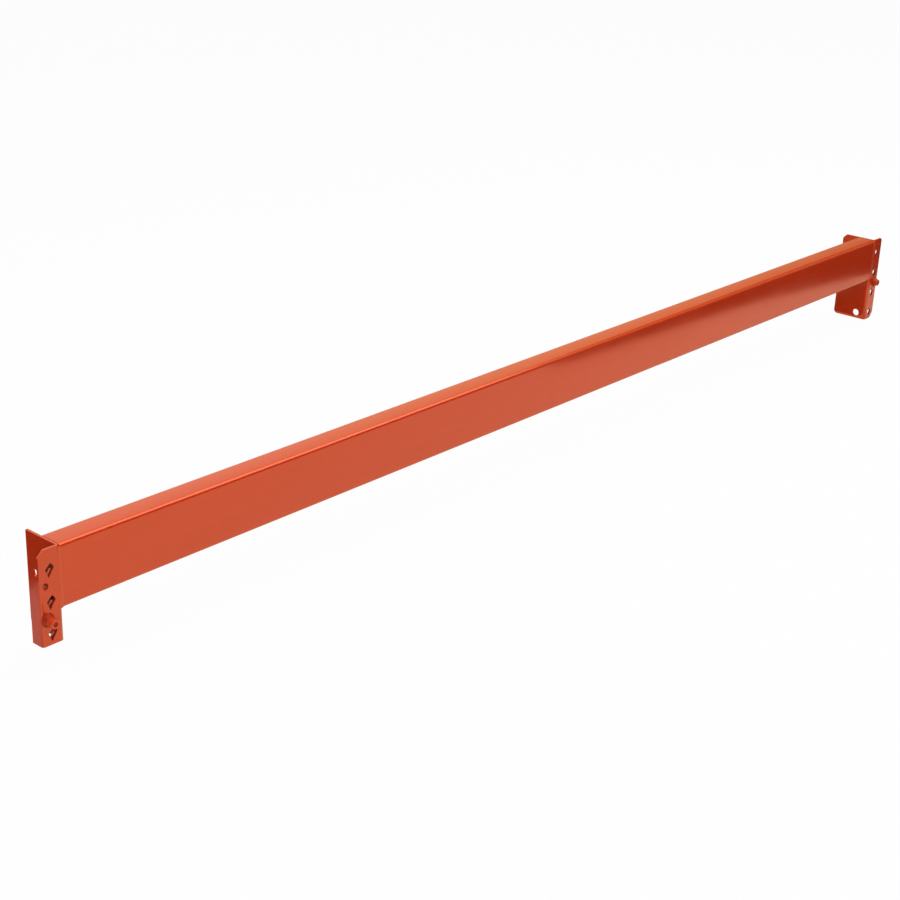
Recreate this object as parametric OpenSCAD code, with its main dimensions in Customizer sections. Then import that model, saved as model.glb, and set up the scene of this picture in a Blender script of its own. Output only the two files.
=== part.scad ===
// Pallet rack beam: a closed steel tube welded between two angle connectors
// whose bent-in tongues hang in the punched openings of a rack's columns.
// Millimetres, +Z up, +X along the beam, -Y towards the aisle.
// The origin is below the middle of the beam, level with the lowest edge.

/* [Beam tube] */
// Distance between the two end plates
beam_length = 2438.4; // [900:0.1:3700]
// Gap between the tube's end and its plate
end_gap = 0.8; // [0.3:0.1:0.9]
// Height of the tube's front face
beam_height = 101.6; // [85:0.1:130]
// Depth of the tube, front to back
beam_depth = 45.5; // [36:0.1:54]
// Wall thickness of the tube
beam_wall = 1.9; // [1.5:0.1:3]
// Outside radius of the tube's four long corners
beam_corner_r = 5.7; // [4:0.1:8]

/* [Connector plates] */
// Thickness of the bent plate
plate_t = 4.2; // [3:0.1:5]
// Inside radius of the bend between the two legs
bend_inside_r = 1.4; // [1:0.1:3]
// Width of the front leg, which lies on the column's face
front_leg_w = 38.1; // [36:0.1:50]
// Depth of the left side leg, which closes the tube's left end
left_leg_d = 74.3; // [73:0.1:100]
// Depth of the right side leg, which closes the tube's right end
right_leg_d = 84.5; // [76:0.1:100]
// Height of the left connector
left_height = 152.4; // [150:0.1:180]
// Height of the right connector
right_height = 203.2; // [200:0.1:230]
// Radius on the side leg's lower back corner
heel_r = 9; // [3:0.1:14]
// Cut on the right side leg's upper back corner
right_nape_cut = 9; // [3:0.1:16]
// Cut on the left front leg's upper outer corner
left_shoulder_cut = 10.6; // [2:0.1:12]
// Cut on the right front leg's upper outer corner
right_shoulder_cut = 5; // [2:0.1:8]
// Width of the cut on the right front leg's lower outer corner
right_toe_cut_w = 11; // [3:0.1:13]
// Height of the same cut
right_toe_cut_h = 14; // [3:0.1:18]

/* [Return lip of the left connector] */
// Depth of the lip behind the front face
lip_d = 24.1; // [16:0.1:30]
// Start of the lip's upper end below the plate's top
lip_below_top = 46; // [38:0.1:60]
// Fall of the lip's upper end towards its back edge
lip_drop = 21; // [0:0.1:30]
// Inside radius of the lip's bend
lip_inside_r = 0.6; // [0.4:0.1:3]

/* [Openings and tongues] */
// Vertical distance from one opening to the next
opening_pitch = 50.8; // [50:0.1:54]
// Number of openings in the left connector
left_openings = 3; // [1:1:3]
// Number of openings in the right connector
right_openings = 4; // [1:1:4]
// Centre of a connector's first opening below its top
first_opening = 34.5; // [28:0.1:34.5]
// Least height of an opening's centre above its plate's bottom
opening_foot = 14; // [13:0.1:16]
// Centre of the openings outboard of the plate's inboard face
opening_out = 19; // [17:0.1:22]
// Width of an opening
opening_w = 16.5; // [12:0.1:18]
// Height of an opening
opening_h = 23.8; // [18:0.1:25]
// Sideways shift of an opening's top and bottom points
opening_skew = 2; // [0:0.1:4]
// Height of an opening's side points above its centre
opening_shoulder = 2.7; // [0:0.1:5]
// Width of the tongue along the opening's slanted edge
tongue_w = 12; // [7:0.1:12.5]
// Shift of the tongue along that edge, towards the opening's bottom
tongue_shift = 1; // [0:0.1:2]
// Outside radius of the bend at the tongue's root
tongue_bend_r = 1.5; // [0.5:0.1:2.5]
// Thickness of the tongue
tongue_t = 3; // [2:0.1:4]
// Reach of the tongue behind the plate
tongue_reach = 4; // [3:0.1:10]
// Cut on each corner of the tongue's free end
tongue_cut = 1.5; // [0.5:0.1:2.5]

/* [Holes and dimple] */
// Diameter of the left side leg's hole behind the tube
rear_hole_d = 12; // [9:0.1:14]
// Distance of that hole behind the tube's back
rear_hole_back = 11; // [11:0.1:16]
// Centre of that hole below the plate's top
rear_hole_down = 63.7; // [55:0.1:75]
// Diameter of the left side leg's hole into the tube's end
tube_hole_d = 13; // [8:0.1:14]
// Centre of that hole behind the front face
tube_hole_back = 18.3; // [14:0.1:26]
// Centre of that hole below the plate's top
tube_hole_down = 90.8; // [76:0.1:92]
// Diameter of the right side leg's hole near its foot
foot_hole_d = 17; // [10:0.1:20]
// Centre of that hole above the plate's bottom
foot_hole_up = 13.6; // [12:0.1:18]
// Centre of that hole behind the front face
foot_hole_back = 25.5; // [20:0.1:30]
// Diameter of the dimple in the left front leg
dimple_d = 12; // [6:0.1:13]
// Depth of the dimple
dimple_depth = 1.8; // [0.5:0.1:2.2]
// Centre of the dimple below the plate's top
dimple_down = 57; // [52:0.1:60]

/* [Lock studs] */
// Centre of the studs outboard of the plate's inboard face
stud_out = 27.5; // [25:0.1:27.5]
// Number of openings above a stud
openings_above_stud = 2; // [1:1:2]
// Reach of the left stud in front of the plate
left_stud_reach = 19; // [10:0.1:25]
// Reach of the right stud in front of the plate
right_stud_reach = 11; // [10:0.1:25]
// Diameter of the stud's head
stud_d = 15.5; // [12:0.1:17]
// Diameter of the tapered collar at the stud's base
stud_collar_d = 22; // [18:0.1:23]
// Height of the collar's straight edge
stud_collar_edge = 1; // [0.5:0.1:2]
// Height of the whole collar
stud_collar_h = 7; // [3:0.1:7.5]
// Bevel on the stud's free end
stud_bevel = 1.2; // [0.5:0.1:2]
// Diameter of the centre hole in the stud's end
stud_centre_d = 4; // [2:0.1:6]
// Depth of the centre hole
stud_centre_depth = 1.8; // [0.5:0.1:3]
// Diameter of the neck that passes through the plate
stud_neck_d = 7; // [5:0.1:8]
// Diameter of the neck's riveted end, flush with the plate's back
stud_rivet_d = 8.4; // [8:0.1:9]
// Depth of the countersink that the riveted end fills
stud_rivet_h = 1.6; // [1:0.1:2.5]
// Clearance round the neck
stud_clearance = 0.1; // [0.05:0.01:0.3]

/* [Welds] */
// Radius of the narrow upper stretch of the front weld
weld_thin_r = 2.7; // [2.2:0.1:3.2]
// Radius of the full lower stretch of the front weld
weld_full_r = 4.3; // [3:0.1:4.8]
// Height of that lower stretch
weld_full_h = 30; // [15:0.1:45]
// Leg of the weld along the tube's back
weld_back_leg = 4; // [3:0.1:4.8]
// Distance of the front weld's ends from the tube's top and bottom
weld_margin = 1; // [0.5:0.1:6]

/* [Hidden] */
$fn = 96;
paint = [0.82, 0.35, 0.24];
weld_paint = [0.84, 0.42, 0.32];
over = 1;                                                  // overrun of every cutter
deepest_leg = max(left_leg_d, right_leg_d);
longest_stud = max(left_stud_reach, right_stud_reach);
y_mid = (deepest_leg - longest_stud) / 2;                  // middle of the depth
beam_top = right_height;                                   // both plates end here
bend_r = plate_t + bend_inside_r;                          // outside radii of bends
lip_bend_r = plate_t + lip_inside_r;
opening_inner = [-opening_w / 2, opening_shoulder];        // in the plate's plane
opening_top = [-opening_skew, opening_h / 2];
opening_outer = [opening_w / 2, opening_shoulder];
opening_bottom = [opening_skew, -opening_h / 2];
tongue_edge = opening_bottom - opening_inner;
left_row = openings_in(left_height, left_openings);
right_row = openings_in(right_height, right_openings);
bead_out = 0.45;          // centre of the front beads, in radii from the plate's face
bead_back = 0.53;         // the same, in radii from the front face
rear_hole_y = beam_depth + rear_hole_back;
stud_down = first_opening + (openings_above_stud - 0.5) * opening_pitch;
dimple_r = (pow(dimple_d / 2, 2) + pow(dimple_depth, 2)) / (2 * dimple_depth);

// ---- shared shapes -------------------------------------------------------

// What rounding a corner at the origin takes away; the solid is towards +x, +y
module corner_waste(r) {
    difference() {
        translate([-over, -over]) square(r + over);
        translate([r, r]) circle(r);
    }
}

// What a fillet adds in an inside corner at the origin
module corner_fill(r) {
    difference() {
        square(r);
        translate([r, r]) circle(r);
    }
}

module rounded_rect(w, h, r) {
    difference() {
        square([w, h]);
        for (x = [0, 1], y = [0, 1])
            translate([x * w, y * h]) mirror([x, 0]) mirror([0, y]) corner_waste(r);
    }
}

// Triangle that cuts w and h off a corner at the origin
module corner_cut(w, h) {
    polygon([[w, 0], [0, h], [-over, h], [-over, -over], [w, -over]]);
}

// Puts a connector's own frame at one end of the beam. There x runs outboard from
// the plate's inboard face, y back from the front face and z up from the plate's top.
module at_end(side) {
    translate([side * beam_length / 2, -y_mid, beam_top])
        mirror([side < 0 ? 1 : 0, 0, 0])
            children();
}

// ---- beam tube -----------------------------------------------------------

module beam_tube() {
    color(paint)
        translate([end_gap - beam_length / 2, -y_mid, beam_top - beam_height])
            rotate([90, 0, 90])
                linear_extrude(beam_length - 2 * end_gap)
                    difference() {
                        rounded_rect(beam_depth, beam_height, beam_corner_r);
                        translate([beam_wall, beam_wall])
                            rounded_rect(beam_depth - 2 * beam_wall,
                                         beam_height - 2 * beam_wall,
                                         beam_corner_r - beam_wall);
                    }
}

// ---- connectors ----------------------------------------------------------

// Plan section of the angle: the side leg runs back, the front leg outboard
module angle_section(leg_d) {
    difference() {
        union() {
            square([plate_t, leg_d]);
            square([front_leg_w, plate_t]);
            translate([plate_t, plate_t]) corner_fill(bend_inside_r);
        }
        corner_waste(bend_r);
    }
}

// Plan section of the bend that carries the return lip
module lip_section() {
    translate([front_leg_w, 0]) mirror([1, 0])
        difference() {
            union() {
                square([plate_t, lip_d]);
                square([lip_bend_r, plate_t]);
                translate([plate_t, plate_t]) corner_fill(lip_inside_r);
            }
            corner_waste(lip_bend_r);
        }
}

// The lip runs from its sloping upper end down to the plate's bottom
module return_lip(height) {
    difference() {
        translate([0, 0, -height])
            linear_extrude(height - lip_below_top) lip_section();
        translate([front_leg_w - lip_bend_r - over, 0, -lip_below_top])
            rotate([90, 0, 90])
                linear_extrude(lip_bend_r + 2 * over)
                    polygon([[0, 0], [lip_d, -lip_drop], [lip_d + over, -lip_drop],
                             [lip_d + over, over], [0, over]]);
    }
}

// Front leg's outer corner, taken away where the lip's rounding replaces it
module lip_corner_waste(height) {
    translate([front_leg_w, 0, -height - over])
        mirror([1, 0, 0])
            linear_extrude(height + over - lip_below_top) corner_waste(lip_bend_r);
}

// Openings that a plate of this height has room for, out of those wanted
function openings_in(height, wanted) =
    min(wanted, 1 + floor((height - first_opening - opening_foot) / opening_pitch));

// Runs its children once for each opening, at the opening's centre
module each_opening(count) {
    for (i = [0 : count - 1])
        translate([opening_out, 0, -first_opening - i * opening_pitch]) children();
}

// Turns its children so that x runs down the edge that carries the tongue, from
// the opening's inner point to its bottom, with y back and z into the opening
module at_tongue_edge() {
    translate([opening_inner[0], 0, opening_inner[1]])
        rotate([0, -atan2(tongue_edge[1], tongue_edge[0]), 0])
            children();
}

module opening_prism() {
    rotate([90, 0, 0])
        translate([0, 0, -plate_t - over])
            linear_extrude(plate_t + 2 * over)
                polygon([opening_inner, opening_top, opening_outer, opening_bottom]);
}

// Kite-shaped hole, with the plate rounded into it over the tongue's root
module opening_hole() {
    difference() {
        opening_prism();
        at_tongue_edge()
            translate([-over, -2 * over, -over])
                cube([norm(tongue_edge) + 2 * over, plate_t + 4 * over,
                      tongue_bend_r + over]);
    }
    intersection() {
        opening_prism();
        at_tongue_edge()
            rotate([90, 0, 90])
                linear_extrude(norm(tongue_edge))
                    translate([0, tongue_bend_r]) mirror([0, 1])
                        corner_waste(tongue_bend_r);
    }
}

// Tongue bent in from the edge, its face tangent to the rounding at its root
module tongue() {
    reach = plate_t + tongue_reach;
    half = tongue_w / 2;
    at_tongue_edge()
        translate([norm(tongue_edge) / 2 + tongue_shift, 0, tongue_bend_r - tongue_t])
            linear_extrude(tongue_t)
                polygon([[-half, plate_t / 2], [half, plate_t / 2],
                         [half, reach - tongue_cut], [half - tongue_cut, reach],
                         [-half + tongue_cut, reach], [-half, reach - tongue_cut]]);
}

// Round hole through the side leg
module side_hole(d, back, down) {
    translate([-over, back, -down])
        rotate([0, 90, 0]) cylinder(d = d, h = plate_t + 2 * over);
}

// Countersunk hole for a stud's neck through the front leg
module stud_hole() {
    neck_d = stud_neck_d + 2 * stud_clearance;
    rivet_d = stud_rivet_d + 2 * stud_clearance;
    translate([stud_out, 0, -stud_down])
        rotate([-90, 0, 0]) {
            translate([0, 0, -over]) cylinder(d = neck_d, h = plate_t);
            translate([0, 0, plate_t - stud_rivet_h])
                cylinder(d1 = neck_d, d2 = rivet_d, h = stud_rivet_h);
            translate([0, 0, plate_t]) cylinder(d = rivet_d, h = over);
        }
}

module bent_plate(height, leg_d, count) {
    difference() {
        translate([0, 0, -height]) linear_extrude(height) angle_section(leg_d);
        each_opening(count) opening_hole();
        // lower back corner of the side leg
        translate([-over, leg_d, -height])
            rotate([90, 0, 90])
                linear_extrude(plate_t + 2 * over) mirror([1, 0]) corner_waste(heel_r);
    }
    each_opening(count) tongue();
}

// Cuts a front leg's outer corner; up is 1 for the top corner, 0 for the bottom
module front_corner_cut(z, w, h, up) {
    translate([front_leg_w, plate_t + over, z])
        rotate([90, 0, 0])
            linear_extrude(plate_t + 2 * over)
                mirror([1, 0]) mirror([0, up]) corner_cut(w, h);
}

module left_connector() {
    color(paint) at_end(-1)
        difference() {
            union() {
                difference() {
                    bent_plate(left_height, left_leg_d, left_row);
                    lip_corner_waste(left_height);
                }
                return_lip(left_height);
            }
            front_corner_cut(0, left_shoulder_cut, left_shoulder_cut, 1);
            side_hole(rear_hole_d, rear_hole_y, rear_hole_down);
            side_hole(tube_hole_d, tube_hole_back, tube_hole_down);
            stud_hole();
            translate([stud_out, dimple_depth - dimple_r, -dimple_down])
                sphere(dimple_r);
        }
}

module right_connector() {
    color(paint) at_end(1)
        difference() {
            bent_plate(right_height, right_leg_d, right_row);
            front_corner_cut(0, right_shoulder_cut, right_shoulder_cut, 1);
            front_corner_cut(-right_height, right_toe_cut_w, right_toe_cut_h, 0);
            side_hole(foot_hole_d, foot_hole_back, right_height - foot_hole_up);
            stud_hole();
            // upper back corner of the side leg
            translate([-over, right_leg_d, 0])
                rotate([90, 0, 90])
                    linear_extrude(plate_t + 2 * over)
                        mirror([1, 0]) mirror([0, 1])
                            corner_cut(right_nape_cut, right_nape_cut);
        }
}

// ---- lock studs ----------------------------------------------------------

// Riveted stud: tapered collar and head in front of the plate, the neck's end spread
// into a countersink behind it, so that the plate's back stays flush
module lock_stud(reach) {
    translate([stud_out, 0, -stud_down])
        rotate([90, 0, 0])
            rotate_extrude()
                polygon([[0, reach - stud_centre_depth],
                         [stud_centre_d / 2, reach],
                         [stud_d / 2 - stud_bevel, reach],
                         [stud_d / 2, reach - stud_bevel],
                         [stud_d / 2, stud_collar_h],
                         [stud_collar_d / 2, stud_collar_edge],
                         [stud_collar_d / 2, 0],
                         [stud_neck_d / 2, 0],
                         [stud_neck_d / 2, stud_rivet_h - plate_t],
                         [stud_rivet_d / 2, -plate_t],
                         [0, -plate_t]]);
}

module left_lock_stud() {
    color(paint) at_end(-1) lock_stud(left_stud_reach);
}

module right_lock_stud() {
    color(paint) at_end(1) lock_stud(right_stud_reach);
}

// ---- welds ---------------------------------------------------------------

// Plan section of the front bead: it fills the groove between the plate's bend
// and the tube's end, and laps onto the tube's face
module front_bead_section(r) {
    block = 3 * r;
    difference() {
        translate([bead_out * r, bead_back * r]) circle(r);
        // the tube
        translate([-end_gap - block, 0]) square(block);
        // the bent plate
        difference() {
            square(block);
            corner_waste(bend_r);
        }
    }
}

module end_welds() {
    bottom = weld_margin - beam_height;
    flat_bottom = beam_corner_r - beam_height;
    // narrow stretch above, full stretch below
    translate([0, 0, bottom + weld_full_h])
        linear_extrude(-weld_margin - bottom - weld_full_h)
            front_bead_section(weld_thin_r);
    translate([0, 0, bottom])
        linear_extrude(weld_full_h) front_bead_section(weld_full_r);
    // quarter-round bead along the flat of the tube's back
    translate([0, beam_depth, flat_bottom])
        linear_extrude(-beam_corner_r - flat_bottom)
            intersection() {
                circle(weld_back_leg);
                translate([-2 * weld_back_leg, 0]) square(2 * weld_back_leg);
            }
}

module left_welds() {
    color(weld_paint) at_end(-1) end_welds();
}

module right_welds() {
    color(weld_paint) at_end(1) end_welds();
}

beam_tube();
left_connector();
right_connector();
left_lock_stud();
right_lock_stud();
left_welds();
right_welds();
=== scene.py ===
import math

import bmesh
import bpy
from mathutils import Euler, Matrix, Vector


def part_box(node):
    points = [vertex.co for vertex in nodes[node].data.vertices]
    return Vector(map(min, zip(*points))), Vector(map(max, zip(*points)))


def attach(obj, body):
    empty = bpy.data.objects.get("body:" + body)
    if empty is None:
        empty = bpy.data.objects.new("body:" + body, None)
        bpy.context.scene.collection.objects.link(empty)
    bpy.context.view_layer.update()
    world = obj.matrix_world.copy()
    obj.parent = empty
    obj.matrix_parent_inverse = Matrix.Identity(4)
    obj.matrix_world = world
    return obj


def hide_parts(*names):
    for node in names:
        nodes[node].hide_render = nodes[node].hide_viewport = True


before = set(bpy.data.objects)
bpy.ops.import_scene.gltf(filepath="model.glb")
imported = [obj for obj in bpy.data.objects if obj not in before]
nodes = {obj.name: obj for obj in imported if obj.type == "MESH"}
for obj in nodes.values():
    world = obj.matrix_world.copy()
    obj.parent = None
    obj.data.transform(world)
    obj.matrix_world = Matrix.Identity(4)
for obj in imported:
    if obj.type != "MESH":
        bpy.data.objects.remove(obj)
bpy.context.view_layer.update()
tubeLow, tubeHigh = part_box("beam_tube")
# where each connector's plate faces the tube, left and right
plateFace = {-1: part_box("left_connector")[1].x, 1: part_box("right_connector")[0].x}
print("frame loaded:", len(nodes), "nodes")


def addNode(tree, kind, inputs=None, **settings):
    node = tree.nodes.new(kind)
    for name, value in settings.items():
        setattr(node, name, value)
    for key, value in (inputs or {}).items():
        socket = node.inputs[key]
        if isinstance(value, bpy.types.NodeSocket):
            tree.links.new(value, socket)
        else:
            socket.default_value = value
    return node


def calc(tree, operation, *values):
    return addNode(tree, "ShaderNodeMath", dict(enumerate(values)),
                   operation=operation).outputs[0]


def newMaterial(name):
    material = bpy.data.materials.new(name)
    material.use_nodes = True
    material.node_tree.nodes.clear()
    return material, material.node_tree


def coatSurface(tree, shader, output="ShaderNodeOutputMaterial"):
    tree.links.new(shader.outputs[0], addNode(tree, output).inputs["Surface"])


def newGeometryTree(name, floats, ints=()):
    # a group with a named float or whole-number input for each size
    tree = bpy.data.node_groups.new(name, "GeometryNodeTree")
    tree.interface.new_socket("Geometry", in_out="OUTPUT", socket_type="NodeSocketGeometry")
    for label in floats:
        tree.interface.new_socket(label, in_out="INPUT", socket_type="NodeSocketFloat")
    for label in ints:
        tree.interface.new_socket(label, in_out="INPUT", socket_type="NodeSocketInt")
    return tree, addNode(tree, "NodeGroupInput"), addNode(tree, "NodeGroupOutput")


def closeTree(tree, geometry, material, output):
    real = addNode(tree, "GeometryNodeRealizeInstances", {0: geometry})
    painted = addNode(tree, "GeometryNodeSetMaterial",
                      {"Geometry": real.outputs[0], "Material": material})
    tree.links.new(painted.outputs[0], output.inputs[0])


def bakeTree(name, tree, sizes, placement):
    # runs the tree once and keeps its result as a plain mesh, moved to its place
    carrier = bpy.data.objects.new(name + "Carrier", bpy.data.meshes.new(name + "Carrier"))
    bpy.context.scene.collection.objects.link(carrier)
    modifier = carrier.modifiers.new("nodes", "NODES")
    modifier.node_group = tree
    for item in tree.interface.items_tree:
        if item.in_out == "INPUT" and item.name in sizes:
            modifier[item.identifier] = sizes[item.name]
    depsgraph = bpy.context.evaluated_depsgraph_get()
    mesh = bpy.data.meshes.new_from_object(carrier.evaluated_get(depsgraph))
    carrier.modifiers.remove(modifier)
    bpy.data.objects.remove(carrier)
    mesh.transform(placement)
    mesh.name = name
    return mesh


def joinMeshes(name, meshes):
    whole = bmesh.new()
    for mesh in meshes:
        whole.from_mesh(mesh)
    joined = bpy.data.meshes.new(name)
    whole.to_mesh(joined)
    whole.free()
    for material in meshes[0].materials:
        joined.materials.append(material)
    return joined


def showPiece(name, mesh, replaced):
    piece = bpy.data.objects.new(name, mesh)
    bpy.context.scene.collection.objects.link(piece)
    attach(piece, "root")
    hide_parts(replaced)


# the colour drifts between low and high, and streak is the share of that in drawn bands
enamel = {
    "tube": {"low": (0.590, 0.034, 0.0060), "high": (0.660, 0.045, 0.0090), "patch": 2.2,
             "streak": 0.45, "roughness": (0.13, 0.19), "metallic": 0.28,
             "peel": 260.0, "peelDepth": 0.00003},
    "plate": {"low": (0.575, 0.034, 0.0060), "high": (0.650, 0.046, 0.0090), "patch": 14.0,
              "streak": 0.0, "roughness": (0.15, 0.22), "metallic": 0.28,
              "peel": 320.0, "peelDepth": 0.00004},
    "stud": {"low": (0.620, 0.037, 0.0055), "high": (0.690, 0.048, 0.0080), "patch": 40.0,
             "streak": 0.0, "roughness": (0.34, 0.42), "metallic": 0.26,
             "peel": 500.0, "peelDepth": 0.00003},
    "weld": {"low": (0.600, 0.042, 0.0080), "high": (0.670, 0.055, 0.0110), "patch": 60.0,
             "streak": 0.0, "roughness": (0.18, 0.28), "metallic": 0.26,
             "peel": 500.0, "peelDepth": 0.00004},
}
# the same for every piece; scales and stretches are per metre
film = {
    "tint": (1.0, 0.98, 0.58, 1.0),     # what the film's gloss keeps of white light
    "refraction": 1.5,
    "specular": 0.9,
    "patch": {"Detail": 4.0, "Roughness": 0.55},
    "bandStretch": (0.6, 170.0, 170.0),     # long along the tube, narrow across it
    "bandDetail": 3.0,
    "haze": 5.0,                        # how much finer than the patches
    "hazeDetail": 5.0,
    "hazeSpan": (0.3, 0.7),
    "peelDetail": 2.0,
    "peelStrength": 0.5,
}
# the dimple above the left stud, where the paint is rubbed thin
rubbed = {
    "out": 0.0290,              # outboard of the plate's inboard face
    "down": 0.0585,             # below the plate's top
    "radius": 0.0040,
    "least": 0.45,              # of the radius, where the rim is furthest in
    "ragged": 420.0,            # scale of the rim's unevenness
    "raggedDetail": 3.0,
    "rim": (0.75, 0.35),        # full to here, gone this much further out
    "colour": (0.420, 0.048, 0.026, 1.0),
    "roughness": 0.45,
    "metallic": 0.60,
}
# painted shade: the openings' sheared walls, and the left side leg behind its lip, are darkened and
# their gloss dulled where shade falls inside the connector
paintedShade = {
    "colour": (0.200, 0.0060, 0.0012, 1.0),
    "roughness": 0.60,
    "metallic": 0.70,
    # low, high and the soft margins, from the plate's inboard face, its front and the floor
    "walls": ((0.0080, 0.0295, 0.0005), (0.0009, 0.0039, 0.0005), (0.0006, 0.1840, 0.0010)),
    "sideLeg": ((0.0038, 0.0048, 0.0010), (0.0055, 0.0240, 0.0010, 0.0280),
                (0.0006, 0.1680, 0.0010, 0.0180)),
}
# along a stud the enamel is a little darker and duller; round its collar it is darker still,
# painted shade; back is from the plate's front
studToneAndShade = (
    {"back": (-0.0175, 0.0010, 0.0006), "colour": (0.590, 0.034, 0.0040, 1.0),
     "roughness": 0.50, "metallic": 0.40},
    {"back": (-0.0072, 0.0010, 0.0006), "colour": (0.430, 0.018, 0.0022, 1.0),
     "roughness": 0.60, "metallic": 0.45},
)
# painted shade: a dark ring round the punch mark in each stud's end, where its hollow lies in shade
punchShadeRing = {"colour": (0.260, 0.0110, 0.0030, 1.0), "roughness": 0.40, "metallic": 0.80,
             "radius": (0.0017, 0.0036, 0.0005), "back": (-0.1, -0.006, 0.001)}


def makeEnamel(name, look):
    # sprayed enamel: colour drifts in soft patches and the film has a faint peel
    material, tree = newMaterial(name)
    place = addNode(tree, "ShaderNodeTexCoord").outputs["Object"]
    patches = addNode(tree, "ShaderNodeTexNoise",
                      {"Vector": place, "Scale": look["patch"], **film["patch"]})
    # faint bands along the rolling direction
    drawn = addNode(tree, "ShaderNodeMapping", {"Vector": place, "Scale": film["bandStretch"]})
    bands = addNode(tree, "ShaderNodeTexNoise",
                    {"Vector": drawn.outputs["Vector"], "Scale": 1.0, "Detail": film["bandDetail"]})
    drift = addNode(tree, "ShaderNodeMix", {"Factor": look["streak"]}, data_type="FLOAT")
    tree.links.new(patches.outputs["Fac"], drift.inputs[2])
    tree.links.new(bands.outputs["Fac"], drift.inputs[3])
    colour = addNode(tree, "ShaderNodeMix", {"Factor": drift.outputs[0]}, data_type="RGBA")
    colour.inputs["A"].default_value = look["low"] + (1.0,)
    colour.inputs["B"].default_value = look["high"] + (1.0,)
    haze = addNode(tree, "ShaderNodeTexNoise",
                   {"Vector": place, "Scale": look["patch"] * film["haze"],
                    "Detail": film["hazeDetail"]})
    dulled = calc(tree, "MULTIPLY_ADD", calc(tree, "SUBTRACT", bands.outputs["Fac"], 0.5),
                  look["streak"], haze.outputs["Fac"])
    gloss = addNode(tree, "ShaderNodeMapRange",
                    {"Value": dulled,
                     "From Min": film["hazeSpan"][0], "From Max": film["hazeSpan"][1],
                     "To Min": look["roughness"][0], "To Max": look["roughness"][1]})
    peel = addNode(tree, "ShaderNodeTexNoise",
                   {"Vector": place, "Scale": look["peel"], "Detail": film["peelDetail"]})
    bumps = addNode(tree, "ShaderNodeBump",
                    {"Height": peel.outputs["Fac"], "Strength": film["peelStrength"],
                     "Distance": look["peelDepth"]})
    shader = addNode(tree, "ShaderNodeBsdfPrincipled",
                     {"Base Color": colour.outputs["Result"], "Roughness": gloss.outputs["Result"],
                      "Metallic": look["metallic"], "Normal": bumps.outputs["Normal"]})
    shader.inputs["IOR"].default_value = film["refraction"]
    shader.inputs["Specular IOR Level"].default_value = film["specular"]
    shader.inputs["Specular Tint"].default_value = film["tint"]
    coatSurface(tree, shader)
    return material


def within(tree, value, low, high, soft, farSoft=None):
    # 1 between low and high, fading to 0 over the soft margins outside them
    farSoft = farSoft or soft
    rise = addNode(tree, "ShaderNodeMapRange",
                   {"Value": value, "From Min": low - soft, "From Max": low,
                    "To Min": 0.0, "To Max": 1.0})
    fall = addNode(tree, "ShaderNodeMapRange",
                   {"Value": value, "From Min": high, "From Max": high + farSoft,
                    "To Min": 1.0, "To Max": 0.0})
    return calc(tree, "MULTIPLY", rise.outputs["Result"], fall.outputs["Result"])


def coverEnamel(material, mask, wearAndShade):
    # lays worn paint, and painted shade, over the enamel where the mask is 1
    tree = material.node_tree
    shader = next(node for node in tree.nodes if node.type == "BSDF_PRINCIPLED")
    base = shader.inputs["Base Color"]
    colour = addNode(tree, "ShaderNodeMix", {"Factor": mask}, data_type="RGBA")
    tree.links.new(base.links[0].from_socket, colour.inputs["A"])
    colour.inputs["B"].default_value = wearAndShade["colour"]
    tree.links.new(colour.outputs["Result"], base)
    for label in ("Roughness", "Metallic"):
        socket = shader.inputs[label]
        before = socket.links[0].from_socket if socket.links else socket.default_value
        after = addNode(tree, "ShaderNodeMapRange",
                        {"Value": mask, "To Min": before, "To Max": wearAndShade[label.lower()]})
        tree.links.new(after.outputs["Result"], socket)


def platePlace(tree):
    # how far a point lies outboard of its plate's inboard face, behind the front and up,
    # and whether it is at the left end
    place = addNode(tree, "ShaderNodeTexCoord").outputs["Object"]
    axes = addNode(tree, "ShaderNodeSeparateXYZ", {0: place}).outputs
    out = calc(tree, "SUBTRACT", calc(tree, "ABSOLUTE", axes["X"]), plateFace[1])
    back = calc(tree, "SUBTRACT", axes["Y"], tubeLow.y)
    atLeft = calc(tree, "LESS_THAN", axes["X"], 0.0)
    return out, back, axes["Z"], atLeft


def paintShadeInside(material):
    # paints shade into the plate's colour, inside the openings and on the left side leg
    tree = material.node_tree
    *place, atLeft = platePlace(tree)
    zones = []
    for spans in (paintedShade["walls"], paintedShade["sideLeg"]):
        out, back, up = (within(tree, value, *span) for value, span in zip(place, spans))
        zones.append(calc(tree, "MULTIPLY", calc(tree, "MULTIPLY", out, back), up))
    walls, sideLeg = zones
    mask = calc(tree, "MAXIMUM", walls, calc(tree, "MULTIPLY", sideLeg, atLeft))
    coverEnamel(material, mask, paintedShade)


def rubThin(material):
    # a worn spot with a ragged rim
    tree = material.node_tree
    place = addNode(tree, "ShaderNodeTexCoord").outputs["Object"]
    centre = (plateFace[-1] - rubbed["out"], tubeLow.y, tubeHigh.z - rubbed["down"])
    offset = addNode(tree, "ShaderNodeVectorMath", {0: place, 1: centre}, operation="SUBTRACT")
    away = addNode(tree, "ShaderNodeVectorMath", {0: offset.outputs["Vector"]}, operation="LENGTH")
    ragged = addNode(tree, "ShaderNodeTexNoise", {"Vector": place, "Scale": rubbed["ragged"],
                                                  "Detail": rubbed["raggedDetail"]})
    reach = calc(tree, "MULTIPLY_ADD", ragged.outputs["Fac"], rubbed["radius"],
                 rubbed["radius"] * rubbed["least"])
    near = calc(tree, "DIVIDE", away.outputs["Value"], reach)
    coverEnamel(material, within(tree, near, -1.0, *rubbed["rim"]), rubbed)


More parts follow.
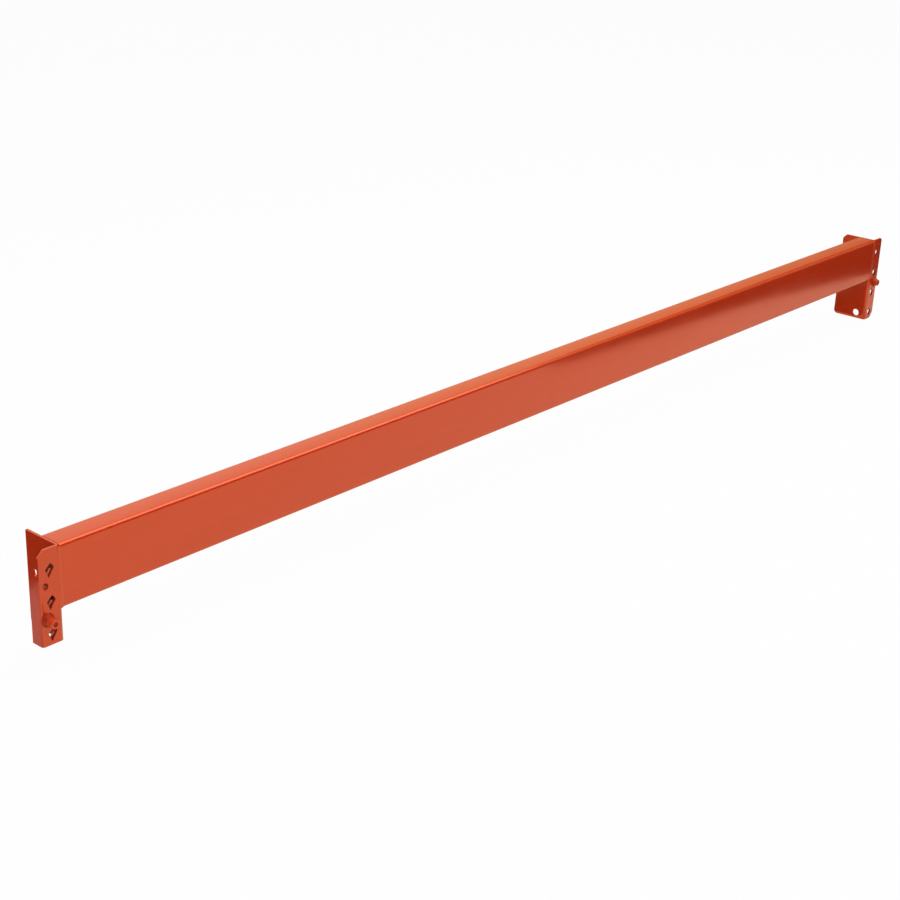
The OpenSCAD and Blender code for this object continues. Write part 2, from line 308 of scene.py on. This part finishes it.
def paintStudShade(material):
    # a darker, duller stud, with painted shade round its collar and in its punch mark
    tree = material.node_tree
    low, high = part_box("left_lock_stud")
    out, back, up = platePlace(tree)[:3]
    for wearAndShade in studToneAndShade:
        coverEnamel(material, within(tree, back, *wearAndShade["back"]), wearAndShade)
    beside = calc(tree, "SUBTRACT", out, plateFace[-1] - (low.x + high.x) / 2)
    above = calc(tree, "SUBTRACT", up, (low.z + high.z) / 2)
    radius = calc(tree, "SQRT", calc(tree, "MULTIPLY_ADD", beside, beside,
                                     calc(tree, "MULTIPLY", above, above)))
    # painted shade in the punch mark's hollow
    ring = within(tree, radius, *punchShadeRing["radius"])
    ahead = within(tree, back, *punchShadeRing["back"])
    coverEnamel(material, calc(tree, "MULTIPLY", ring, ahead), punchShadeRing)


materials = {name: makeEnamel(name + "Enamel", look) for name, look in enamel.items()}
paintShadeInside(materials["plate"])
rubThin(materials["plate"])
paintStudShade(materials["stud"])
print("enamels mixed:", len(materials))


tube = {
    "wall": 0.0019,
    "cornerRadius": 0.0057,
    "cornerSteps": 10,
    "sharpAngle": 40.0,
    "merge": 0.00001,
}


def buildTubeTree():
    # two rounded rectangles, filled between, drawn out to the tube's length
    tree, given, output = newGeometryTree(
        "tubeTree", ("Length", "Height", "Depth", "Wall", "Corner Radius"), ("Corner Steps",))
    value = given.outputs
    outlines = addNode(tree, "GeometryNodeJoinGeometry")
    for walls in (0.0, 1.0):
        inset = calc(tree, "MULTIPLY", value["Wall"], walls)
        twice = calc(tree, "MULTIPLY", inset, 2.0)
        outline = addNode(tree, "GeometryNodeCurvePrimitiveQuadrilateral",
                          {"Width": calc(tree, "SUBTRACT", value["Depth"], twice),
                           "Height": calc(tree, "SUBTRACT", value["Height"], twice)})
        rounded = addNode(tree, "GeometryNodeFilletCurve",
                          {"Curve": outline.outputs[0], "Count": value["Corner Steps"],
                           "Radius": calc(tree, "SUBTRACT", value["Corner Radius"], inset)},
                          mode="POLY")
        tree.links.new(rounded.outputs[0], outlines.inputs[0])
    ring = addNode(tree, "GeometryNodeFillCurve", {"Curve": outlines.outputs[0]}, mode="NGONS")
    along = addNode(tree, "ShaderNodeCombineXYZ", {"Z": value["Length"]})
    drawn = addNode(tree, "GeometryNodeExtrudeMesh",
                    {"Mesh": ring.outputs[0], "Offset": along.outputs[0],
                     "Offset Scale": 1.0, "Individual": False}, mode="FACES")
    nearEnd = addNode(tree, "GeometryNodeFlipFaces", {"Mesh": ring.outputs[0]})
    closed = addNode(tree, "GeometryNodeJoinGeometry", {0: drawn.outputs["Mesh"]})
    tree.links.new(nearEnd.outputs[0], closed.inputs[0])
    merged = addNode(tree, "GeometryNodeMergeByDistance",
                     {"Geometry": closed.outputs[0], "Distance": tube["merge"]})
    closeTree(tree, merged.outputs[0], materials["tube"], output)
    return tree


tubeSize = tubeHigh - tubeLow
tubeCentre = (tubeLow + tubeHigh) / 2
tubePlace = (Matrix.Translation((tubeLow.x, tubeCentre.y, tubeCentre.z))
             @ Euler((math.pi / 2, 0.0, math.pi / 2)).to_matrix().to_4x4())
tubeMesh = bakeTree("rolledTube", buildTubeTree(),
                    {"Length": tubeSize.x, "Height": tubeSize.z, "Depth": tubeSize.y,
                     "Wall": tube["wall"], "Corner Radius": tube["cornerRadius"],
                     "Corner Steps": tube["cornerSteps"]}, tubePlace)
tubeMesh.set_sharp_from_angle(angle=math.radians(tube["sharpAngle"]))
showPiece("rolledTube", tubeMesh, "beam_tube")
print("tube:", len(tubeMesh.polygons), "faces")


plateEdge = {"width": 0.0005, "steps": 2, "flatAngle": 1.0, "bevelAngle": 35.0,
             "merge": 0.000002}


def softenedCopy(name, cadNode, material):
    # the solid's own shape with its sheared edges just broken
    shape = bmesh.new()
    shape.from_mesh(nodes[cadNode].data)
    bmesh.ops.remove_doubles(shape, verts=shape.verts, dist=plateEdge["merge"])
    bmesh.ops.dissolve_limit(shape, angle_limit=math.radians(plateEdge["flatAngle"]),
                             verts=shape.verts, edges=shape.edges)
    mesh = bpy.data.meshes.new(name)
    shape.to_mesh(mesh)
    shape.free()
    mesh.materials.clear()
    mesh.materials.append(material)
    piece = bpy.data.objects.new(name, mesh)
    bpy.context.scene.collection.objects.link(piece)
    bevel = piece.modifiers.new("bevel", "BEVEL")
    bevel.width = plateEdge["width"]
    bevel.segments = plateEdge["steps"]
    bevel.limit_method = "ANGLE"
    bevel.angle_limit = math.radians(plateEdge["bevelAngle"])
    bevel.harden_normals = True
    depsgraph = bpy.context.evaluated_depsgraph_get()
    finished = bpy.data.meshes.new_from_object(piece.evaluated_get(depsgraph))
    bpy.data.objects.remove(piece)
    finished.name = name
    showPiece(name, finished, cadNode)


for side in ("left", "right"):
    softenedCopy(side + "Plate", side + "_connector", materials["plate"])
    softenedCopy(side + "Stud", side + "_lock_stud", materials["stud"])
print("connectors and studs softened")


weld = {
    "pitch": 0.0022,       # from one ripple to the next
    "ripple": 0.05,        # depth of a ripple, as a share of the radius
    "wander": 0.10,        # slow unevenness of the radius
    "wanderScale": 90.0,
    "wanderDetail": 1.0,
    "rippleSteps": 6.0,    # rings in the mesh for each ripple
    "fullHeight": 0.030,
    "blend": (0.8, 1.15),  # from full to thin, as shares of that height
    "ending": (1.02, 24.0),     # how bluntly the ends round off
    "around": 32,
    "seed": 7.0,
    "seedStep": 10.0,      # between the two sides
    # half widths above and in the full stretch, the centre in half widths, and how flat it lies
    "Front": {"thin": 0.0033, "full": 0.0046, "out": 0.40, "inward": 0.06, "flat": 0.34,
              "inset": 0.0010},
    "Back": {"thin": 0.0040, "full": 0.0040, "out": 0.0, "inward": 0.0, "flat": 1.0,
             "inset": 0.0057},
}


def buildBeadTree():
    # a bead along z: thin above, full below, faintly rippled and laid flat against the seam
    tree, given, output = newGeometryTree(
        "beadTree", ("Length", "Upper Radius", "Lower Radius", "Lower Height", "Out", "Inward",
                     "Flat", "Pitch", "Ripple", "Wander", "Seed"))
    value = given.outputs
    end = addNode(tree, "ShaderNodeCombineXYZ", {"Z": value["Length"]})
    line = addNode(tree, "GeometryNodeCurvePrimitiveLine", {"End": end.outputs[0]})
    steps = calc(tree, "DIVIDE", value["Length"],
                 calc(tree, "DIVIDE", value["Pitch"], weld["rippleSteps"]))
    finely = addNode(tree, "GeometryNodeResampleCurve",
                     {"Curve": line.outputs[0], "Count": steps}, mode="COUNT")
    spot = addNode(tree, "GeometryNodeInputPosition")
    across = addNode(tree, "ShaderNodeSeparateXYZ", {0: spot.outputs[0]}).outputs
    height = across["Z"]
    low, high = (calc(tree, "MULTIPLY", value["Lower Height"], share) for share in weld["blend"])
    nominal = addNode(tree, "ShaderNodeMapRange",
                      {"Value": height, "From Min": low, "From Max": high,
                       "To Min": value["Lower Radius"], "To Max": value["Upper Radius"]},
                      interpolation_type="SMOOTHSTEP").outputs["Result"]
    turns = calc(tree, "MULTIPLY", calc(tree, "DIVIDE", height, value["Pitch"]), math.tau)
    wave = calc(tree, "MULTIPLY_ADD", calc(tree, "SINE", turns), 0.5, 0.5)
    noise = addNode(tree, "ShaderNodeTexNoise",
                    {"W": calc(tree, "MULTIPLY_ADD", height, weld["wanderScale"], value["Seed"]),
                     "Detail": weld["wanderDetail"]}, noise_dimensions="1D")
    sunk = calc(tree, "MULTIPLY_ADD", wave, value["Ripple"],
                calc(tree, "MULTIPLY", noise.outputs["Fac"], value["Wander"]))
    along = calc(tree, "DIVIDE", height, value["Length"])
    fromMiddle = calc(tree, "ABSOLUTE", calc(tree, "MULTIPLY_ADD", along, 2.0, -1.0))
    crown, blunt = weld["ending"]
    rounding = calc(tree, "SQRT",
                    calc(tree, "SUBTRACT", crown, calc(tree, "POWER", fromMiddle, blunt)))
    radius = calc(tree, "MULTIPLY", calc(tree, "MULTIPLY", nominal, rounding),
                  calc(tree, "SUBTRACT", 1.0, sunk))
    ruled = addNode(tree, "GeometryNodeSetCurveRadius",
                    {"Curve": finely.outputs[0], "Radius": radius})
    circle = addNode(tree, "GeometryNodeCurvePrimitiveCircle",
                     {"Resolution": weld["around"], "Radius": 1.0})
    girth = addNode(tree, "GeometryNodeInputRadius")
    swept = addNode(tree, "GeometryNodeCurveToMesh",
                    {"Curve": ruled.outputs[0], "Profile Curve": circle.outputs[0],
                     "Scale": girth.outputs[0], "Fill Caps": True})
    laid = addNode(tree, "ShaderNodeCombineXYZ",
                   {"X": calc(tree, "MULTIPLY_ADD", nominal, value["Out"], across["X"]),
                    "Y": calc(tree, "MULTIPLY_ADD", nominal, value["Inward"],
                              calc(tree, "MULTIPLY", across["Y"], value["Flat"])),
                    "Z": height})
    pressed = addNode(tree, "GeometryNodeSetPosition",
                      {"Geometry": swept.outputs[0], "Position": laid.outputs[0]})
    smooth = addNode(tree, "GeometryNodeSetShadeSmooth", {"Geometry": pressed.outputs[0]})
    closeTree(tree, smooth.outputs[0], materials["weld"], output)
    return tree


beadTree = buildBeadTree()
for side, sign in (("left", -1), ("right", 1)):
    beads = []
    for place, faceY in (("Front", tubeLow.y), ("Back", tubeHigh.y)):
        bead = weld[place]
        foot = (plateFace[sign], faceY, tubeLow.z + bead["inset"])
        beads.append(bakeTree(side + place, beadTree,
                              {"Length": tubeSize.z - 2 * bead["inset"],
                               "Upper Radius": bead["thin"], "Lower Radius": bead["full"],
                               "Lower Height": weld["fullHeight"], "Out": sign * bead["out"],
                               "Inward": bead["inward"], "Flat": bead["flat"],
                               "Pitch": weld["pitch"], "Ripple": weld["ripple"],
                               "Wander": weld["wander"],
                               "Seed": weld["seed"] + weld["seedStep"] * sign + len(beads)},
                              Matrix.Translation(foot)))
    showPiece(side + "Beads", joinMeshes(side + "Beads", beads), side + "_welds")
print("weld beads laid")


studio = {
    "floorHalf": 14.0,
    "floorColour": (0.62, 0.62, 0.62, 1.0),
    "whiteShare": 0.97,        # of the floor, to the eye and to gloss
    "paperGlow": (1.0, 0.97, 0.86, 1.0),      # the paper as gloss finds it
    "skyColour": (1.0, 1.0, 1.0, 1.0),
    "skyStrength": 0.20,
    # what gloss finds as it looks further to the back: a dark room, then a pale wall
    "room": ((0.30, (0.030, 0.026, 0.018)), (0.42, (0.470, 0.380, 0.200)),
             (0.58, (0.800, 0.780, 0.520)), (0.72, (1.000, 1.000, 0.920))),
}


def makeFloorMaterial():
    # white to the camera and to reflections, with enough of the real surface to keep the shadow
    material, tree = newMaterial("paleFloor")
    rays = addNode(tree, "ShaderNodeLightPath").outputs
    seen = calc(tree, "MAXIMUM", rays["Is Camera Ray"], rays["Is Glossy Ray"])
    seen = calc(tree, "MAXIMUM", seen, rays["Is Transmission Ray"])
    share = calc(tree, "MULTIPLY", seen, studio["whiteShare"])
    paper = addNode(tree, "ShaderNodeBsdfDiffuse", {"Color": studio["floorColour"]})
    glow = addNode(tree, "ShaderNodeMix", {"Factor": rays["Is Glossy Ray"]}, data_type="RGBA")
    glow.inputs["A"].default_value = studio["skyColour"]
    glow.inputs["B"].default_value = studio["paperGlow"]
    white = addNode(tree, "ShaderNodeEmission", {"Color": glow.outputs["Result"], "Strength": 1.0})
    both = addNode(tree, "ShaderNodeMixShader",
                   {0: share, 1: paper.outputs[0], 2: white.outputs[0]})
    coatSurface(tree, both)
    return material


def addPlate(name, corners, material):
    mesh = bpy.data.meshes.new(name)
    mesh.from_pydata(corners, [], [tuple(range(len(corners)))])
    mesh.materials.append(material)
    plate = bpy.data.objects.new(name, mesh)
    bpy.context.scene.collection.objects.link(plate)
    return plate


half = studio["floorHalf"]
addPlate("floor", [(-half, -half, 0), (half, -half, 0), (half, half, 0), (-half, half, 0)],
         makeFloorMaterial())

# the beam lies on a strip of white paper: past its edges, gloss finds a dark floor
darkFloor = {
    "colour": (0.006, 0.005, 0.004, 1.0),
    "lift": 0.0015,
    "frontEdge": ((0.45, -0.400), (1.15, -0.305), (1.60, -0.188), (2.60, -0.020)),
    "backEdge": ((2.60, 0.480), (-3.00, 0.110)),
    # painted shadow: a dark sheet, seen only in gloss, where the beam's own shadow lies on the
    # paper
    "underBeam": ((0.45, -0.010), (1.21, 0.145)),     # the beam's own shade
    "reach": 8.0,
}
# painted shade: sheets seen only in gloss, where the paper lies in shade to the left of the beam,
# and a little at its far right
shades = {
    "leftShade": {"colour": (0.390, 0.540, 0.660, 1.0),
                  "corners": ((-2.20, -0.060), (-1.235, -0.060), (-1.235, 0.600), (-2.20, 0.600))},
    "rightShade": {"colour": (0.740, 0.760, 0.720, 1.0),
                   "corners": ((0.95, -0.340), (2.60, -0.340), (2.60, -0.015), (0.95, -0.015))},
}
shadeLift = 0.0010
# painted highlight: a pale glowing sheet, seen only in gloss, runs on past the overhead lamp and
# lights up the tube's rounding
highlightSheet = {
    "colour": (0.900, 0.900, 0.420, 1.0),
    "height": 3.2,
    "corners": ((3.40, -3.80), (10.0, -3.80), (10.0, -0.80), (3.40, -0.80)),
}


def makePlainMaterial(name, kind, colour):
    material, tree = newMaterial(name)
    coatSurface(tree, addNode(tree, kind, {"Color": colour}))
    return material


def layForGloss(name, corners, material, height):
    # only gloss sees it, so the light on the beam stays as it is
    plate = addPlate(name, [(x, y, height) for x, y in corners], material)
    plate.visible_camera = plate.visible_diffuse = plate.visible_shadow = False
    plate.visible_transmission = False


darkMaterial = makePlainMaterial("darkFloor", "ShaderNodeBsdfDiffuse", darkFloor["colour"])
for name, way in (("frontEdge", -1), ("backEdge", 1)):
    edge = darkFloor[name]
    far = way * darkFloor["reach"]
    outline = [(edge[-1][0], far), (edge[0][0], far)] + list(edge)
    layForGloss(name, outline, darkMaterial, darkFloor["lift"])
(lowX, lowY), (highX, highY) = darkFloor["underBeam"]
layForGloss("underBeam", [(lowX, lowY), (highX, lowY), (highX, highY), (lowX, highY)],
            darkMaterial, darkFloor["lift"])
# the painted shade sheets on the paper
for name, shade in shades.items():
    dull = makePlainMaterial(name, "ShaderNodeBsdfDiffuse", shade["colour"])
    layForGloss(name, shade["corners"], dull, shadeLift)
# the painted highlight sheet glows for gloss alone
layForGloss("highlightSheet", highlightSheet["corners"],
            makePlainMaterial("highlightSheet", "ShaderNodeEmission", highlightSheet["colour"]),
            highlightSheet["height"])


def makeSky():
    # plain light for the object, white behind it, and the room for its gloss
    sky = bpy.data.worlds.new("sky")
    sky.use_nodes = True
    tree = sky.node_tree
    tree.nodes.clear()
    rays = addNode(tree, "ShaderNodeLightPath").outputs
    way = addNode(tree, "ShaderNodeTexCoord").outputs["Generated"]
    toBack = addNode(tree, "ShaderNodeSeparateXYZ", {0: way}).outputs["Y"]
    room = addNode(tree, "ShaderNodeValToRGB", {"Fac": toBack})
    ramp = room.color_ramp
    for number, (place, colour) in enumerate(studio["room"]):
        # the ramp comes with two stops
        stop = ramp.elements[number] if number < 2 else ramp.elements.new(place)
        stop.position = place
        stop.color = colour + (1.0,)
    plain = addNode(tree, "ShaderNodeBackground",
                    {"Color": studio["skyColour"], "Strength": studio["skyStrength"]})
    mirrored = addNode(tree, "ShaderNodeBackground",
                       {"Color": room.outputs["Color"], "Strength": 1.0})
    white = addNode(tree, "ShaderNodeBackground", {"Color": studio["skyColour"], "Strength": 1.0})
    lit = addNode(tree, "ShaderNodeMixShader",
                  {0: rays["Is Glossy Ray"], 1: plain.outputs[0], 2: mirrored.outputs[0]})
    seen = calc(tree, "MAXIMUM", rays["Is Camera Ray"], rays["Is Transmission Ray"])
    both = addNode(tree, "ShaderNodeMixShader", {0: seen, 1: lit.outputs[0], 2: white.outputs[0]})
    coatSurface(tree, both, "ShaderNodeOutputWorld")
    return sky


bpy.context.scene.world = makeSky()
print("stage set")


lamps = {
    "overhead": {"at": (0.6, -0.5, 3.2), "to": (0.6, -0.5, 0.0), "size": (5.4, 3.6),
                 "power": 158.0, "mirrored": True},
    "fill": {"at": (-8.0, -4.5, 4.0), "to": (0.0, 0.0, 0.1), "size": (6.0, 5.0),
             "power": 460.0, "mirrored": False},
}
for name, lamp in lamps.items():
    light = bpy.data.lights.new(name, "AREA")
    light.shape = "RECTANGLE"
    light.size, light.size_y = lamp["size"]
    light.energy = lamp["power"]
    holder = bpy.data.objects.new(name, light)
    bpy.context.scene.collection.objects.link(holder)
    holder.visible_glossy = lamp["mirrored"]
    holder.location = lamp["at"]
    aim = Vector(lamp["to"]) - Vector(lamp["at"])
    holder.rotation_euler = aim.to_track_quat("-Z", "Y").to_euler()
print("lamps hung:", len(lamps))


camera = {
    "lens": 66.859,
    "sensor": 36.0,
    "clip": (0.1, 60.0),
    "yaw": 0.8735,             # turned to the right of the +Y direction
    "pitch": 0.3886,           # looking down
    "roll": -0.0392,
    "fromCorner": (-1.2807, -1.7858, 1.0389),   # from the tube's upper front left corner
}


def aimCamera(yaw, pitch, roll):
    forward = Vector((math.sin(yaw) * math.cos(pitch), math.cos(yaw) * math.cos(pitch),
                      -math.sin(pitch)))
    level = Vector((math.cos(yaw), -math.sin(yaw), 0.0))
    down = forward.cross(level)
    right = level * math.cos(roll) + down * math.sin(roll)
    below = down * math.cos(roll) - level * math.sin(roll)
    return Matrix((right, -below, -forward)).transposed()


lens = bpy.data.cameras.new("camera")
lens.sensor_width = camera["sensor"]
lens.lens = camera["lens"]
lens.clip_start, lens.clip_end = camera["clip"]
eye = bpy.data.objects.new("camera", lens)
bpy.context.scene.collection.objects.link(eye)
tubeCorner = Vector((plateFace[-1], tubeLow.y, tubeHigh.z))
eye.matrix_world = (Matrix.Translation(tubeCorner + Vector(camera["fromCorner"]))
                    @ aimCamera(camera["yaw"], camera["pitch"], camera["roll"]).to_4x4())
bpy.context.scene.camera = eye
bpy.context.scene.view_settings.view_transform = "Standard"
print("camera aimed")
